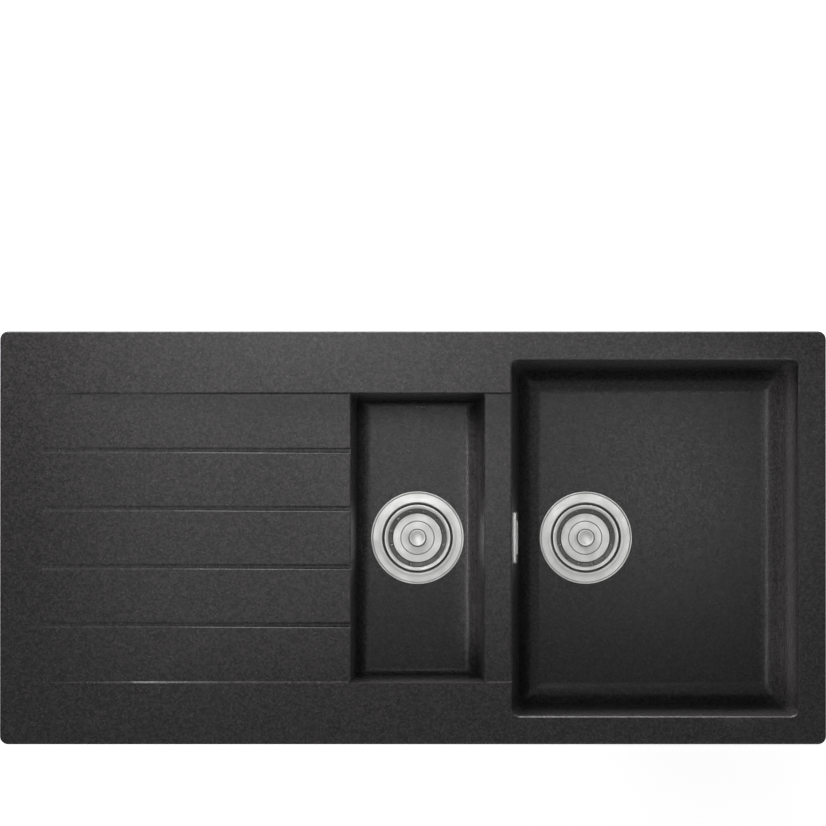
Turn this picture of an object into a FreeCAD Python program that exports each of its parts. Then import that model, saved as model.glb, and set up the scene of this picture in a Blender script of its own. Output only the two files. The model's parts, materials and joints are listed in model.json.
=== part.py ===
import FreeCAD, Part
import math
import os

# A one-and-a-half bowl inset kitchen sink with a drainboard, cast in dark stone composite.
# Millimetres. The origin is the centre of the worktop cut-out, on the worktop's upper face.
# +X runs from the drainboard to the main bowl, +Y to the tap ledge at the back, +Z up.

Vec = FreeCAD.Vector
UP = Vec(0, 0, 1)

# ---- rim and worktop ----
rim_length = 1000.0
rim_width = 500.0
rim_corner = 10.0
rim_edge_bevel = 1.6
rim_height = 8.0
seal_thickness = 1.5
seal_width = 4.5
seal_inset = 5.2
lip_width = 3.0
lip_gap = 0.3
rim_overlap = 10.0
cutout_clearance = 3.0
cutout_corner = 8.0

# ---- deck, drainboard and its grooves ----
deck_thickness = 9.0
skirt_thickness = 6.0
skirt_depth = 14.0
ledge_width = 74.0
drainer_start = 52.0
recess_depth = 6.0
step_run = 2.3
panel_count = 5
groove_width = 7.5
groove_run = 2.3
groove_depth = 2.5
tap_knockout_d = 35.0
tap_knockout_skin = 4.0
tap_knockout_inset = 38.0

# ---- bowls ----
bowl_wall = 8.0
bowl_draft = 3.7
small_left = 424.5
small_length = 162.0
small_depth = 140.0
small_side_fillet = 16.0
small_end_fillet = 8.0
small_edge_round = 1.5
small_shell_round = 20.0
bridge_width = 32.8
main_right_rim = 33.2
main_back_rim = 34.0
main_depth = 190.0
main_corner = 10.0
main_fillet = 28.0
main_shell_round = 36.0
main_edge_bevel = 1.6
main_drain_offset = 93.5

# ---- basket strainer wastes ----
flange_d = 114.0
flange_thickness = 1.2
flange_sink = 0.3
flange_seat_gap = 1.0
drain_hole_d = 90.0
cup_d = 83.0
cup_depth = 42.0
cup_sheet = 1.2
cup_slot_count = 6
cup_slot_width = 6.0
cup_slot_inner_d = 22.0
cup_slot_outer_d = 48.0
waste_gasket_width = 10.0
waste_gasket_thickness = 3.0
waste_wall = 3.0
waste_inner_d = 92.0
waste_flange_thickness = 5.0
waste_chamber_depth = 44.0
waste_cone_depth = 14.0
outlet_d = 47.8
outlet_bore_d = 40.0
outlet_length = 24.0
spider_count = 3
spider_angle = 60.0
spider_web = 4.0
spider_height = 12.0
spider_boss_d = 15.0
waste_screw_d = 6.0
waste_screw_grip = 16.0
waste_screw_head_across = 10.0
waste_screw_head_height = 2.4
screw_hole_gap = 0.2
overflow_socket_drop = 24.0
overflow_socket_length = 20.0
turned_flat_count = 32

# ---- lift-out baskets ----
seat_gap = 0.3
basket_sheet = 1.0
basket_rim_d = 81.0
basket_side_d = 73.0
basket_floor_d = 64.0
basket_depth = 33.0
basket_slot_count = 12
basket_slot_width = 4.0
basket_slot_height = 18.0
stopper_d = 60.0
stopper_hole_d = 20.0
stopper_thickness = 4.0
stem_d = 8.0
knob_d = 22.0
knob_height = 8.0
knob_drop = 3.0
knob_edge = 1.5
knob_flat_count = 12

# ---- overflow in the wall beside the bridge ----
overflow_drop = 60.0
overflow_hole_width = 44.0
overflow_hole_height = 20.0
overflow_cover_width = 64.0
overflow_cover_height = 34.0
overflow_cover_thickness = 2.5
overflow_cover_edge = 1.0
overflow_slot_width = 40.0
overflow_slot_height = 7.0
overflow_slot_offset = 6.5
overflow_gasket_margin = 5.0
overflow_gasket_thickness = 2.0
overflow_box_depth = 15.0
overflow_box_margin = 6.0
overflow_box_wall = 2.5
overflow_boss_d = 9.0
overflow_screw_d = 5.0
overflow_screw_head_d = 10.0
overflow_screw_head_height = 1.8
spigot_d = 14.0
spigot_bore_d = 10.0
spigot_length = 18.0
spigot_flat_count = 16
hose_wall = 2.0
hose_overlap = 14.0
hose_bend = 28.0
hose_bend_count = 6
fixed_gap = 0.05

# ---- worktop clamps ----
clamp_boss_width = 14.0
clamp_boss_depth = 20.0
insert_width = 8.0
insert_length = 15.0
clamp_screw_d = 5.0
clamp_screw_grip = 12.0
clamp_bore_gap = 0.08
clamp_head_across = 9.0
clamp_head_height = 3.5
clamp_hub_across = 12.0
clamp_hub_height = 18.0
clamp_play = 0.2
clamp_arm_width = 11.0
clamp_arm_thickness = 4.0
clamp_arm_reach = 34.0
clamp_tip_height = 7.0
clamp_tooth_depth = 2.0
clamp_rib = 3.0
clamp_spacing = 600.0

# ---- values that follow from the sizes above ----
slope = math.tan(math.radians(bowl_draft))
left = -rim_length / 2
back = rim_width / 2
top = rim_height
recess_floor = top - recess_depth
recess_half = back - ledge_width
small_x0 = left + small_left
small_x1 = small_x0 + small_length
main_x0 = small_x1 + bridge_width
main_x1 = rim_length / 2 - main_right_rim
main_half = back - main_back_rim
main_floor = top - main_depth
small_floor = top - small_depth
body_half_x = rim_length / 2 - rim_overlap - cutout_clearance
body_half_y = rim_width / 2 - rim_overlap - cutout_clearance
small_drain = Vec((small_x0 + small_x1) / 2, 0, small_floor)
main_drain = Vec(main_x0 + main_drain_offset, 0, main_floor)
deck_under = top - deck_thickness
drainer_fall = recess_depth / (small_left - drainer_start)
above = 5.0
flange_top = -flange_sink
flange_under = flange_top - flange_thickness
waste_top = -bowl_wall - waste_gasket_thickness
waste_gasket_d = waste_inner_d + 2 * waste_gasket_width
chamber_low = waste_top - waste_chamber_depth
outlet_top = chamber_low - waste_cone_depth
outlet_end = outlet_top - outlet_length
cup_floor = flange_top - cup_depth
spider_top = cup_floor - cup_sheet
stopper_under = cup_floor + seat_gap
basket_under = stopper_under + stopper_thickness
basket_top = basket_under + basket_depth
wall_normal = bowl_wall * math.cos(math.radians(bowl_draft))
overflow_box_front = -wall_normal - overflow_gasket_thickness
overflow_box_back = overflow_box_front - overflow_box_depth
overflow_box_low = overflow_hole_height / 2 + overflow_box_margin
spigot_axis = (overflow_box_front + overflow_box_back) / 2
socket_level = waste_top - overflow_socket_drop
hose_bore_d = spigot_d + 2 * fixed_gap
hose_d = hose_bore_d + 2 * hose_wall
clamp_hub_top = -clamp_boss_depth - clamp_play
clamp_hub_low = clamp_hub_top - clamp_hub_height


# ---- shapes used throughout ----
def rounded_outline(points):
    """Edges of a closed outline. Each point is (u, v) or (u, v, corner radius)."""
    count = len(points)
    corners = []
    for i in range(count):
        here = Vec(points[i][0], points[i][1], 0)
        radius = points[i][2] if len(points[i]) > 2 else 0.0
        before = Vec(points[i - 1][0], points[i - 1][1], 0)
        after = Vec(points[(i + 1) % count][0], points[(i + 1) % count][1], 0)
        if radius == 0:
            corners.append((here, here, here))
            continue
        to_before = (before - here).normalize()
        to_after = (after - here).normalize()
        half = to_before.getAngle(to_after) / 2
        middle = (to_before + to_after).normalize()
        setback = radius / math.tan(half)
        bulge = here + middle * (radius / math.sin(half) - radius)
        corners.append((here + to_before * setback, bulge, here + to_after * setback))
    edges = []
    for i in range(count):
        start, bulge, end = corners[i]
        if (end - start).Length > 1e-7:
            edges.append(Part.Arc(start, bulge, end).toShape())
        following = corners[(i + 1) % count][0]
        if (following - end).Length > 1e-7:
            edges.append(Part.LineSegment(end, following).toShape())
    return edges


def flat_face(points):
    return Part.Face(Part.Wire(rounded_outline(points)))


def plate(points, z0, z1):
    """An outline in X and Y, raised from z0 to z1."""
    face = flat_face(points)
    face.translate(Vec(0, 0, z0))
    return face.extrude(Vec(0, 0, z1 - z0))


def bar_along_y(points, y0, y1):
    """An outline in X and Z, drawn out from y0 to y1."""
    face = flat_face(points)
    face.rotate(Vec(0, 0, 0), Vec(1, 0, 0), 90)
    face.translate(Vec(0, y0, 0))
    return face.extrude(Vec(0, y1 - y0, 0))


def bar_along_x(points, x0, x1):
    """An outline in Y and Z, drawn out from x0 to x1."""
    face = flat_face(points)
    face.rotate(Vec(0, 0, 0), Vec(1, 1, 1), 120)
    face.translate(Vec(x0, 0, 0))
    return face.extrude(Vec(x1 - x0, 0, 0))


def turned(points, centre):
    """An outline of radius and height, turned about a vertical axis at centre."""
    face = flat_face(points)
    face.rotate(Vec(0, 0, 0), Vec(1, 0, 0), 90)
    solid = face.revolve(Vec(0, 0, 0), UP, 360)
    solid.translate(centre)
    return solid


def rectangle(x0, x1, y0, y1, corner=0.0):
    return [(x0, y0, corner), (x1, y0, corner), (x1, y1, corner), (x0, y1, corner)]


def box(x0, x1, y0, y1, z0, z1):
    return Part.makeBox(x1 - x0, y1 - y0, z1 - z0, Vec(x0, y0, z0))


def rod(radius, start, end):
    along = end - start
    return Part.makeCylinder(radius, along.Length, start, along)


def clipped_rectangle(x, y, cut):
    """A rectangle reaching x and y either side of the origin, its corners cut at 45 degrees."""
    return [(x - cut, -y), (x, cut - y), (x, y - cut), (x - cut, y),
            (cut - x, y), (-x, y - cut), (-x, cut - y), (cut - x, -y)]


def joined(shapes):
    result = shapes[0].multiFuse(shapes[1:]) if len(shapes) > 1 else shapes[0]
    return result.removeSplitter()


def around(shape, centre, count, turn=0.0):
    """Copies of a shape spaced evenly about a vertical axis."""
    copies = []
    for i in range(count):
        copy = shape.copy()
        copy.rotate(centre, UP, turn + 360.0 * i / count)
        copies.append(copy)
    return copies


def regular_outline(sides, across):
    """A regular polygon, measured across its flats."""
    radius = across / 2 / math.cos(math.pi / sides)
    angles = [math.pi * (2 * i + 1) / sides for i in range(sides)]
    return [(radius * math.cos(a), radius * math.sin(a)) for a in angles]


def through_rings(rings):
    """A solid with flat sides through rings of corners, all rings alike in count."""
    faces = [Part.Face(Part.makePolygon(ring + ring[:1])) for ring in (rings[0], rings[-1])]
    for lower, upper in zip(rings, rings[1:]):
        for i in range(len(lower)):
            corners = [lower[i - 1], lower[i], upper[i], upper[i - 1]]
            faces.append(Part.Face(Part.makePolygon(corners + corners[:1])))
    return Part.makeSolid(Part.makeShell(faces))


def flats(rings, sides=turned_flat_count):
    """A turned form drawn with flats, through rings given as (diameter across the flats, height)."""
    return through_rings([[Vec(u, v, z) for u, v in regular_outline(sides, across)] for across, z in rings])


def tube_run(route, across):
    """A solid of regular section along straight runs in the X-Z plane, mitred where they meet."""
    direction = (route[1] - route[0]).normalize()
    side = direction.cross(Vec(0, 1, 0))
    corners = [route[0] + Vec(0, u, 0) + side * v for u, v in regular_outline(spigot_flat_count, across)]
    rings = [corners]
    for i in range(1, len(route)):
        following = (route[i + 1] - route[i]).normalize() if i + 1 < len(route) else direction
        normal = direction + following
        corners = [c + direction * ((route[i] - c).dot(normal) / direction.dot(normal)) for c in corners]
        rings.append(corners)
        direction = following
    return through_rings(rings)


def placed(shape, x, y, turn=0.0):
    shape.rotate(Vec(0, 0, 0), UP, turn)
    shape.translate(Vec(x, y, 0))
    return shape


def edges_near(shape, test):
    return [edge for edge in shape.Edges if test(edge.CenterOfMass, edge)]


# ---- sink body ----
def tapered_form(x0, x1, half, x_level, z_low, side_round, end_round):
    """A tub with flat sloping sides that roll into its floor and meet in mitred corners.

    Its width is x0 to x1 at x_level, and its ends are at half at the rim.
    """
    z_top = top + above
    sides = [(x0 - (z_top - x_level) * slope, z_top), (x0 + (x_level - z_low) * slope, z_low, side_round),
             (x1 - (x_level - z_low) * slope, z_low, side_round), (x1 + (z_top - x_level) * slope, z_top)]
    ends = [(-half - above * slope, z_top), (-half + (top - z_low) * slope, z_low, end_round),
            (half - (top - z_low) * slope, z_low, end_round), (half + above * slope, z_top)]
    return bar_along_y(sides, -rim_width, rim_width).common(bar_along_x(ends, -rim_length, rim_length))


def main_bowl_form():
    """The main bowl's hollow: deeply rounded where the walls meet the floor, tight in the upright corners."""
    solid = tapered_form(main_x0, main_x1, main_half, top, main_floor, main_fillet, main_fillet)
    uprights = edges_near(solid, lambda c, e: e.BoundBox.ZLength > skirt_depth
                          and e.BoundBox.XLength < bridge_width)
    return solid.makeFillet(main_corner, uprights)


def small_bowl_form():
    """The small bowl's hollow: its long walls roll into the floor more widely than its ends."""
    return tapered_form(small_x0, small_x1, recess_half, recess_floor, small_floor,
                        small_side_fillet, small_end_fillet)


def bowl_shell(x0, x1, half, x_level, floor, corner):
    """The outside of a bowl, a wall's thickness outside its hollow and below the rim."""
    solid = tapered_form(x0 - bowl_wall, x1 + bowl_wall, half + bowl_wall, x_level, floor - bowl_wall, corner, corner)
    return solid.common(box(left, -left, -back, back, floor - 2 * bowl_wall, seal_thickness))


def cross_section(points, x):
    """A closed outline of straight lines in Y and Z, standing at x."""
    corners = [Vec(x, y, z) for y, z in points]
    return Part.makePolygon(corners + corners[:1])


def recess_form():
    """The lowered area: level with the rim at the far left, deepest from the small bowl on."""
    foot = recess_half - step_run

    def section(x, depth):
        return cross_section([(-recess_half, top + above), (-recess_half, top), (-foot, top - depth),
                              (foot, top - depth), (recess_half, top), (recess_half, top + above)], x)

    sections = [section(left + drainer_start, 0), section(small_x0, recess_depth),
                section(main_x0 + main_corner, recess_depth)]
    return Part.makeLoft(sections, True, True)


def groove_form(y):
    """One drain groove: it fades in at the far left and runs out over the small bowl's edge."""
    half = groove_width / 2
    flat = half - groove_run

    def section(x, surface, depth):
        return cross_section([(y - half, surface + above), (y - half, surface), (y - flat, surface - depth),
                              (y + flat, surface - depth), (y + half, surface), (y + half, surface + above)], x)

    run_out = 2 * small_edge_round
    sections = [section(left + drainer_start, top, 0), section(small_x0, recess_floor, groove_depth),
                section(small_x0 + run_out, recess_floor, groove_depth)]
    return Part.makeLoft(sections, True, True)


def rim_form():
    """The rim that rests on the worktop, with a lip that hides the sealing strip."""
    outline = rectangle(left, -left, -back, back, rim_corner)
    slab = plate(outline, seal_thickness, top)
    upper_edges = edges_near(slab, lambda c, e: abs(c.z - top) < 0.01)
    slab = slab.makeChamfer(rim_edge_bevel, upper_edges)
    inner = rectangle(left + lip_width, -left - lip_width, -back + lip_width, back - lip_width,
                      rim_corner - lip_width)
    lip = plate(outline, lip_gap, seal_thickness).cut(plate(inner, lip_gap, seal_thickness))
    return [slab, lip]


def underside_forms():
    """The deck's thickness, its perimeter skirt and the sloping underside of the drainboard."""
    outer = clipped_rectangle(body_half_x, body_half_y, cutout_corner)
    inner = clipped_rectangle(body_half_x - skirt_thickness, body_half_y - skirt_thickness, cutout_corner)
    deck = plate(outer, deck_under, seal_thickness)
    skirt = plate(outer, -skirt_depth, seal_thickness).cut(plate(inner, -skirt_depth, seal_thickness))
    pan_half = recess_half + bowl_wall
    pan_under = deck_under - recess_depth
    start = left + drainer_start
    pan = bar_along_y([(start, deck_under), (small_x0, pan_under), (main_x0, pan_under),
                       (main_x0, seal_thickness), (start, seal_thickness)], -pan_half, pan_half)
    return [deck, skirt, pan]


def drain_cut(drain):
    """The seat of the strainer's flange and the hole through the floor."""
    seat = rod(flange_d / 2 + flange_seat_gap, drain + Vec(0, 0, flange_under), drain + Vec(0, 0, above))
    hole = rod(drain_hole_d / 2, drain - Vec(0, 0, bowl_wall + above), drain)
    return seat.fuse(hole)


def clamp_places():
    """Name, X, Y and the turn of the folded arm from +X for each clamp."""
    x = clamp_spacing / 2
    y = body_half_y - clamp_boss_width / 2
    return [("clamp_back_left", -x, y, 0), ("clamp_back_right", x, y, 0),
            ("clamp_front_left", -x, -y, 180), ("clamp_front_right", x, -y, 180)]


def at_clamps(make):
    """One copy of a shape at each clamp."""
    return [placed(make(), x, y, turn) for name, x, y, turn in clamp_places()]


def clamp_boss():
    half = clamp_boss_width / 2
    return box(-half, half, -half, half, -clamp_boss_depth, seal_thickness)


def insert_hole():
    half = insert_width / 2
    return box(-half, half, -half, half, -clamp_boss_depth, insert_length - clamp_boss_depth)


def tap_knockout():
    """A blind round in the underside of the back ledge, thin enough to tap out for a mixer."""
    place = Vec(small_drain.x, back - tap_knockout_inset, 0)
    return rod(tap_knockout_d / 2, place + Vec(0, 0, deck_under), place + Vec(0, 0, top - tap_knockout_skin))


def on_overflow_wall(shape):
    """Stands a shape, drawn about +Z, on the bowl wall beside the bridge, facing into the bowl."""
    shape.rotate(Vec(0, 0, 0), Vec(0, 1, 0), 90 - bowl_draft)
    shape.translate(Vec(main_x0 + overflow_drop * slope, 0, top - overflow_drop))
    return shape


def with_bevelled_rim_edge(casting):
    """The upper edge of the main bowl, bevelled before the lowered area cuts across it."""
    edges = edges_near(casting, lambda c, e: abs(c.z - top) < 0.01 and abs(c.y) < main_half + 1
                       and main_x0 - 1 < c.x < main_x1 + 1)
    return casting.makeChamfer(main_edge_bevel, edges)


def with_bevelled_bridge_edge(casting):
    """The edge where the lowered bridge drops into the main bowl."""
    x = main_x0 + recess_depth * slope
    edges = edges_near(casting, lambda c, e: abs(c.z - recess_floor) < 0.01 and abs(c.x - x) < 0.1
                       and e.BoundBox.YLength > recess_half)
    return casting.makeChamfer(main_edge_bevel, edges)


def small_edge_trim(x, side, fall):
    """What rounding one long edge of the small bowl takes away. The bowl lies on the given side of x."""
    reach = 2 * small_edge_round
    profile = [(x - side * reach, recess_floor + above), (x - side * reach, recess_floor + reach * fall),
               (x, recess_floor, small_edge_round), (x + side * reach * slope, recess_floor - reach),
               (x + side * reach, recess_floor - reach), (x + side * reach, recess_floor + above)]
    half = recess_half - recess_depth * slope
    return bar_along_y(profile, -half, half)


def overflow_opening():
    x = overflow_hole_height / 2
    y = overflow_hole_width / 2
    return on_overflow_wall(box(-x, x, -y, y, -2 * bowl_wall, bowl_wall))


def sink_body():
    shells = [bowl_shell(main_x0, main_x1, main_half, top, main_floor, main_shell_round),
              bowl_shell(small_x0, small_x1, recess_half, recess_floor, small_floor, small_shell_round)]
    casting = joined(rim_form() + underside_forms() + shells + at_clamps(clamp_boss))
    casting = with_bevelled_rim_edge(casting.cut(main_bowl_form()))
    casting = with_bevelled_bridge_edge(casting.cut([recess_form(), small_bowl_form()]))
    trims = [small_edge_trim(small_x0, 1, drainer_fall), small_edge_trim(small_x1, -1, 0)]
    pitch = 2 * recess_half / panel_count
    grooves = [groove_form(-recess_half + pitch * i) for i in range(1, panel_count)]
    drains = [drain_cut(main_drain), drain_cut(small_drain)]
    return casting.cut(trims + grooves + drains + at_clamps(insert_hole) + [tap_knockout(), overflow_opening()])


def rim_seal():
    """The foam strip between rim and worktop, hidden behind the lip."""
    def slab(inset):
        return plate(clipped_rectangle(-left - inset, back - inset, rim_corner - lip_width), 0, seal_thickness)
    return slab(seal_inset).cut(slab(seal_inset + seal_width))


# ---- basket strainer wastes, drawn from the bowl's floor at the drain's centre ----
def at_drain(shape, drain):
    shape.translate(drain)
    return shape


def at_drains(make):
    """One copy of a shape in each bowl."""
    return Part.makeCompound([at_drain(make(), main_drain), at_drain(make(), small_drain)])


def radial_slots(count, inner_d, outer_d, width, z0, z1):
    slot = box(inner_d / 2, outer_d / 2, -width / 2, width / 2, z0, z1)
    return around(slot, Vec(0, 0, 0), count)


def strainer_cup():
    """A pressed steel cup: its flange lies in the floor, its bottom is slotted under the stopper."""
    flange_r = flange_d / 2
    inner = cup_d / 2
    outer = inner + cup_sheet
    points = [(0, spider_top), (outer, spider_top), (outer, flange_under), (flange_r, flange_under),
              (flange_r, flange_top), (inner, flange_top), (inner, cup_floor), (0, cup_floor)]
    hole_d = waste_screw_d + 2 * screw_hole_gap
    hole = flats([(hole_d, spider_top), (hole_d, cup_floor)], knob_flat_count)
    slots = radial_slots(cup_slot_count, cup_slot_inner_d, cup_slot_outer_d, cup_slot_width,
                         cup_floor - above, cup_floor + cup_sheet)
    return turned(points, Vec(0, 0, 0)).cut(slots + [hole])


def waste_gasket():
    ring = flats([(waste_gasket_d, waste_top), (waste_gasket_d, -bowl_wall)])
    return ring.cut(flats([(waste_inner_d, waste_top), (waste_inner_d, -bowl_wall)]))


def waste_screw():
    """The bolt that draws the cup down onto the waste, its head in the hollow of the stopper."""
    head_top = cup_floor + waste_screw_head_height
    head = flats([(waste_screw_head_across, cup_floor), (waste_screw_head_across, head_top)], 6)
    shank = flats([(waste_screw_d, spider_top - waste_screw_grip), (waste_screw_d, cup_floor)], knob_flat_count)
    return joined([head, shank])


def spider():
    """The webs and boss inside the waste that take the bolt."""
    low = spider_top - spider_height
    half = spider_web / 2
    web = box(0, waste_inner_d / 2 + waste_wall / 2, -half, half, low, spider_top)
    boss = flats([(spider_boss_d, low), (spider_boss_d, spider_top)], knob_flat_count)
    return [boss] + around(web, Vec(0, 0, 0), spider_count, spider_angle)


def waste_body():
    """The moulded chamber under the bowl, with its spider and threaded outlet."""
    outer_d = waste_inner_d + 2 * waste_wall
    flange = flats([(waste_gasket_d, waste_top - waste_flange_thickness), (waste_gasket_d, waste_top)])
    chamber = flats([(outlet_bore_d + 2 * waste_wall, outlet_top), (outer_d, chamber_low), (outer_d, waste_top)])
    hollow = flats([(outlet_bore_d, outlet_end), (outlet_bore_d, outlet_top), (waste_inner_d, chamber_low),
                    (waste_inner_d, waste_top)])
    outlet = rod(outlet_d / 2, Vec(0, 0, outlet_end), Vec(0, 0, outlet_top))
    shell = joined([flange, chamber, outlet]).cut(hollow)
    bolt_hole = flats([(waste_screw_d + 2 * fixed_gap, spider_top - spider_height),
                       (waste_screw_d + 2 * fixed_gap, spider_top)], knob_flat_count)
    return joined([shell] + spider()).cut(bolt_hole)


def waste_body_with_socket():
    """The main bowl's waste also has a side spigot for the overflow hose."""
    wall = waste_inner_d / 2
    tip = -wall - waste_wall - overflow_socket_length
    root = -wall + waste_wall
    spigot = bar_along_x(regular_outline(spigot_flat_count, spigot_d), tip, root)
    bore = bar_along_x(regular_outline(spigot_flat_count, spigot_bore_d), tip, root)
    hollow = flats([(waste_inner_d, chamber_low), (waste_inner_d, waste_top)])
    spigot.translate(Vec(0, 0, socket_level))
    bore.translate(Vec(0, 0, socket_level))
    return joined([waste_body(), spigot.cut(hollow)]).cut(bore)


def basket():
    """The lift-out basket: a rim in the cup's mouth, tapered slotted sides and a flat floor."""
    rim_under = basket_top - basket_sheet
    pot = flats([(basket_floor_d, basket_under), (basket_side_d, rim_under)])
    rim = flats([(basket_rim_d, rim_under), (basket_rim_d, basket_top)])
    hollow = flats([(basket_floor_d - 2 * basket_sheet, basket_under + basket_sheet),
                    (basket_side_d - 2 * basket_sheet, basket_top)])
    middle = (basket_under + basket_top) / 2
    slots = radial_slots(basket_slot_count, basket_floor_d / 2, basket_rim_d, basket_slot_width,
                         middle - basket_slot_height / 2, middle + basket_slot_height / 2)
    return joined([pot, rim]).cut([hollow] + slots)


def stopper_seal():
    """The rubber ring under the basket that closes the cup's slots."""
    disc = flats([(stopper_d, stopper_under), (stopper_d, basket_under)])
    return disc.cut(flats([(stopper_hole_d, stopper_under), (stopper_hole_d, basket_under)], knob_flat_count))


def basket_knob():
    """A knob with flats on a stem that stands on the basket's floor."""
    knob_top = flange_top - knob_drop
    knob_low = knob_top - knob_height
    neck = knob_low - (knob_d - stem_d) / 2
    return flats([(stem_d, basket_under + basket_sheet), (stem_d, neck), (knob_d, knob_low),
                  (knob_d, knob_top - knob_edge), (knob_d - 2 * knob_edge, knob_top)], knob_flat_count)


# ---- overflow, drawn about +Z with +X down the wall, and then stood on the bowl wall ----
def overflow_frame(margin, z0, z1):
    """A plate that reaches a margin past the overflow opening on every side."""
    x = overflow_hole_height / 2 + margin
    y = overflow_hole_width / 2 + margin
    return box(-x, x, -y, y, z0, z1)


def overflow_rod(diameter, z0, z1):
    return flats([(diameter, z0), (diameter, z1)], knob_flat_count)


def overflow_cover():
    """A pressed plate with a bevelled edge and a slot above and below its screw."""
    x = overflow_cover_height / 2
    y = overflow_cover_width / 2
    rise = overflow_cover_thickness
    plate_shape = box(-x, x, -y, y, 0, rise)
    front = edges_near(plate_shape, lambda c, e: abs(c.z - rise) < 0.01)
    plate_shape = plate_shape.makeChamfer(overflow_cover_edge, front)
    tall = overflow_slot_height / 2
    wide = overflow_slot_width / 2
    slots = [box(middle - tall, middle + tall, -wide, wide, 0, rise)
             for middle in (-overflow_slot_offset, overflow_slot_offset)]
    hole = overflow_rod(overflow_screw_d + 2 * screw_hole_gap, 0, rise)
    return on_overflow_wall(plate_shape.cut(slots + [hole]))


def overflow_screw():
    seat = overflow_cover_thickness
    shank = overflow_rod(overflow_screw_d, overflow_box_back + overflow_box_wall, seat)
    head_top = seat + overflow_screw_head_height
    head = flats([(overflow_screw_head_d, seat), (overflow_screw_head_d - overflow_screw_head_height, head_top)],
                 knob_flat_count)
    return on_overflow_wall(joined([shank, head]))


def overflow_gasket():
    ring = overflow_frame(overflow_gasket_margin, overflow_box_front, -wall_normal)
    return on_overflow_wall(ring.cut(overflow_frame(0, overflow_box_front, -wall_normal)))


def overflow_spigot(across, x0, x1):
    shape = bar_along_x(regular_outline(spigot_flat_count, across), x0, x1)
    shape.translate(Vec(0, 0, spigot_axis))
    return shape


def overflow_elbow():
    """The moulded box behind the overflow opening, with a spigot pointing down the wall."""
    wall = overflow_box_wall
    shell = overflow_frame(overflow_box_margin, overflow_box_back, overflow_box_front)
    hollow = overflow_frame(overflow_box_margin - wall, overflow_box_back + wall, overflow_box_front - wall)
    mouth = overflow_frame(0, overflow_box_front - wall, overflow_box_front)
    boss = overflow_rod(overflow_boss_d, overflow_box_back, overflow_box_front)
    bolt_hole = overflow_rod(overflow_screw_d + 2 * fixed_gap, overflow_box_back + wall, overflow_box_front)
    tip = overflow_box_low + spigot_length
    spigot = overflow_spigot(spigot_d, overflow_box_low, tip)
    spigot_bore = overflow_spigot(spigot_bore_d, overflow_box_low - wall, tip)
    body = joined([shell.cut([hollow, mouth]), spigot, boss])
    return on_overflow_wall(body.cut([spigot_bore, bolt_hole]))


def hose_route():
    """Down between the bowls from the elbow's spigot, round a bend, and in to the main waste's spigot."""
    down = Vec(slope, 0, -1).normalize()
    tip = on_overflow_wall(Part.Vertex(overflow_box_low + spigot_length, 0, spigot_axis)).Point
    level = main_drain.z + socket_level
    corner = tip + down * ((tip.z - level) / -down.z)
    turn = down.getAngle(Vec(1, 0, 0))
    setback = hose_bend * math.tan(turn / 2)
    bend_start = corner - down * setback
    centre = bend_start + Vec(-down.z, 0, down.x) * hose_bend
    route = [tip - down * hose_overlap]
    for i in range(hose_bend_count + 1):
        spoke = bend_start - centre
        angle = turn * i / hose_bend_count
        across = Vec(spoke.x * math.cos(angle) - spoke.z * math.sin(angle), 0,
                     spoke.x * math.sin(angle) + spoke.z * math.cos(angle))
        route.append(centre + across)
    socket_tip = main_drain.x - waste_inner_d / 2 - waste_wall - overflow_socket_length
    return route + [Vec(socket_tip + hose_overlap, 0, level)]


def overflow_hose():
    route = hose_route()
    return tube_run(route, hose_d).cut(tube_run(route, hose_bore_d))


# ---- worktop clamps, drawn with the screw at the origin and the arm along +X ----
def clamp_insert():
    """The plug cast into the boss, bored for the screw."""
    half = insert_width / 2
    plug = box(-half, half, -half, half, -clamp_boss_depth, insert_length - clamp_boss_depth)
    bore_d = clamp_screw_d + 2 * fixed_gap
    return plug.cut(flats([(bore_d, -clamp_boss_depth), (bore_d, insert_length - clamp_boss_depth)], knob_flat_count))


def clamp_screw():
    seat = clamp_hub_low - clamp_play
    head = plate(regular_outline(6, clamp_head_across), seat - clamp_head_height, seat)
    shank = rod(clamp_screw_d / 2, Vec(0, 0, seat), Vec(0, 0, clamp_screw_grip - clamp_boss_depth))
    return joined([head, shank])


def clamp_arm():
    """A moulded hub on the screw, an arm with a stiffening rib, and a toothed tip that bites the worktop."""
    half = clamp_arm_width / 2
    arm_top = clamp_hub_low + clamp_arm_thickness
    tip_top = arm_top + clamp_tip_height
    reach = clamp_arm_reach
    hub = plate(regular_outline(8, clamp_hub_across), clamp_hub_low, clamp_hub_top)
    arm = box(0, reach, -half, half, clamp_hub_low, arm_top)
    rib = bar_along_y([(0, arm_top), (reach - clamp_arm_thickness, arm_top), (0, clamp_hub_top)],
                      -clamp_rib / 2, clamp_rib / 2)
    notch = tip_top - clamp_tooth_depth
    teeth = [(-half, arm_top), (half, arm_top), (half, tip_top), (half / 2, notch),
             (0, tip_top), (-half / 2, notch), (-half, tip_top)]
    tip = bar_along_x(teeth, reach - clamp_arm_thickness, reach)
    bore = rod(clamp_screw_d / 2 + clamp_bore_gap, Vec(0, 0, clamp_hub_low), Vec(0, 0, clamp_hub_top))
    return joined([hub, arm, rib, tip]).cut(bore)


# ---- every piece ----
def write(node, shape):
    shape.exportStep("parts/" + node + ".step")
    print(node, len(shape.Solids), shape.isValid(), round(shape.Volume, 1))


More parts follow.
